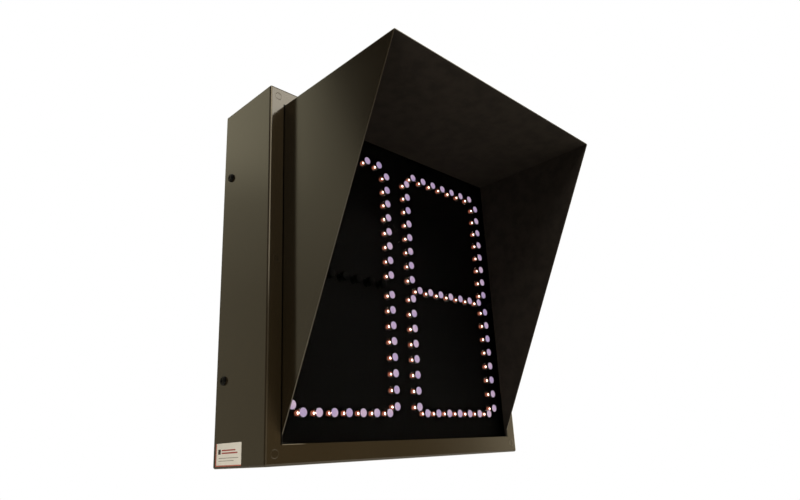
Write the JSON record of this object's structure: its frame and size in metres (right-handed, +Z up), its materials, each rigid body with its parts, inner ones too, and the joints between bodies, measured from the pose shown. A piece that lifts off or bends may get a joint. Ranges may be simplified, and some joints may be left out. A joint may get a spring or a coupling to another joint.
{
  "type": "led numeric traffic head",
  "caption": "Hooded LED numeric head: shallow folded-sheet housing with tapered sun visor, clear window, black lamp panel, rear plate and internal electronics.",
  "frame": {"origin": "centre of the flat rear mounting face", "axes": "+Z up, +X to the right of somebody facing the display, display faces -Y, +Y out of the mounting face"},
  "size_m": [0.4036, 0.272, 0.4064],
  "materials": {
    "paint": "semi-gloss dark bronze enamel",
    "galvanised": "zinc-plated sheet",
    "black_panel": "flat black",
    "window": "clear polycarbonate",
    "gasket": "closed-cell foam",
    "stud_paint": "flush, painted over",
    "plated_steel": "zinc plated",
    "spacer_nylon": "natural nylon",
    "brass": "turned",
    "board": "solder-resist green",
    "lamp": "water-clear lamp with frosted flat end, lit",
    "black_screw": "black oxide",
    "label": null,
    "connector": "moulded black",
    "ribbon": "grey PVC ribbon",
    "bushing": "moulded black",
    "supply_metal": "folded sheet",
    "terminal_black": "moulded black",
    "terminal_green": "moulded green",
    "trimmer_blue": "moulded blue",
    "trimmer_white": "moulded off-white",
    "selector_red": "moulded red",
    "button_white": "moulded white",
    "lid_clear": "clear moulded lid",
    "lead_red": "PVC insulation",
    "lead_grey": "PVC sheath"
  },
  "bodies": {
    "rear": {"rear_plate": "galvanised", "rear_rails": "galvanised", "cable_bushing": "bushing", "earth_stud": "brass", "earth_nut": "plated_steel", "supply_base": "supply_metal", "supply_cover": "supply_metal", "supply_board": "board", "supply_terminals": "terminal_black", "terminal_screws": "plated_steel", "trimmer_case": "trimmer_blue", "selector_case": "terminal_black", "driver_board": "board", "driver_standoffs": "plated_steel", "driver_screws": "plated_steel", "driver_chips": "terminal_black", "power_socket": "connector", "button_case": "terminal_black", "driver_headers": "connector", "driver_plugs": "connector", "field_terminals": "terminal_green", "supply_lead": "lead_red", "mains_lead": "lead_grey"},
    "housing": {"housing_shell": "paint", "visor_hood": "paint", "window_gasket": "gasket", "front_window": "window", "face_panel": "black_panel", "bezel_studs": "stud_paint", "stud_spacers": "plated_steel", "bezel_nuts": "plated_steel", "tens_board": "board", "units_board": "board", "tens_segment_a": "lamp", "tens_segment_b": "lamp", "tens_segment_c": "lamp", "tens_segment_d": "lamp", "tens_segment_e": "lamp", "tens_segment_f": "lamp", "tens_segment_g": "lamp", "units_segment_a": "lamp", "units_segment_b": "lamp", "units_segment_c": "lamp", "units_segment_d": "lamp", "units_segment_e": "lamp", "units_segment_f": "lamp", "units_segment_g": "lamp", "face_studs": "plated_steel", "board_spacers": "spacer_nylon", "board_nuts": "plated_steel", "digit_headers": "connector", "digit_plugs": "connector", "digit_ribbons": "ribbon", "side_screws": "black_screw", "side_nuts": "plated_steel", "side_label": "label"},
    "lid": {"terminal_cover": "lid_clear"},
    "trimmer": {"output_trimmer": "trimmer_white"},
    "selector": {"voltage_selector": "selector_red"},
    "button": {"test_button": "button_white"}
  },
  "joints": [
    {"name": "housing_slide", "type": "slide", "parent": "rear", "child": "housing", "axis": [0, -1, 0], "range_m": [0, 0.036]},
    {"name": "terminal_lid_hinge", "type": "hinge", "parent": "rear", "child": "lid", "pos_m": [-0.0613, -0.0261, 0.059], "axis": [0, 0, 1], "range_deg": [0, 105]},
    {"name": "trimmer_turn", "type": "hinge", "parent": "rear", "child": "trimmer", "pos_m": [-0.0685, -0.0106, 0.05], "axis": [0, -1, 0], "range_deg": [-130, 130]},
    {"name": "selector_slide", "type": "slide", "parent": "rear", "child": "selector", "axis": [1, 0, 0], "range_m": [0, 0.004]},
    {"name": "test_button_press", "type": "slide", "parent": "rear", "child": "button", "axis": [0, 1, 0], "range_m": [0, 0.0008], "stiffness_N_per_m": 1500}
  ]
}
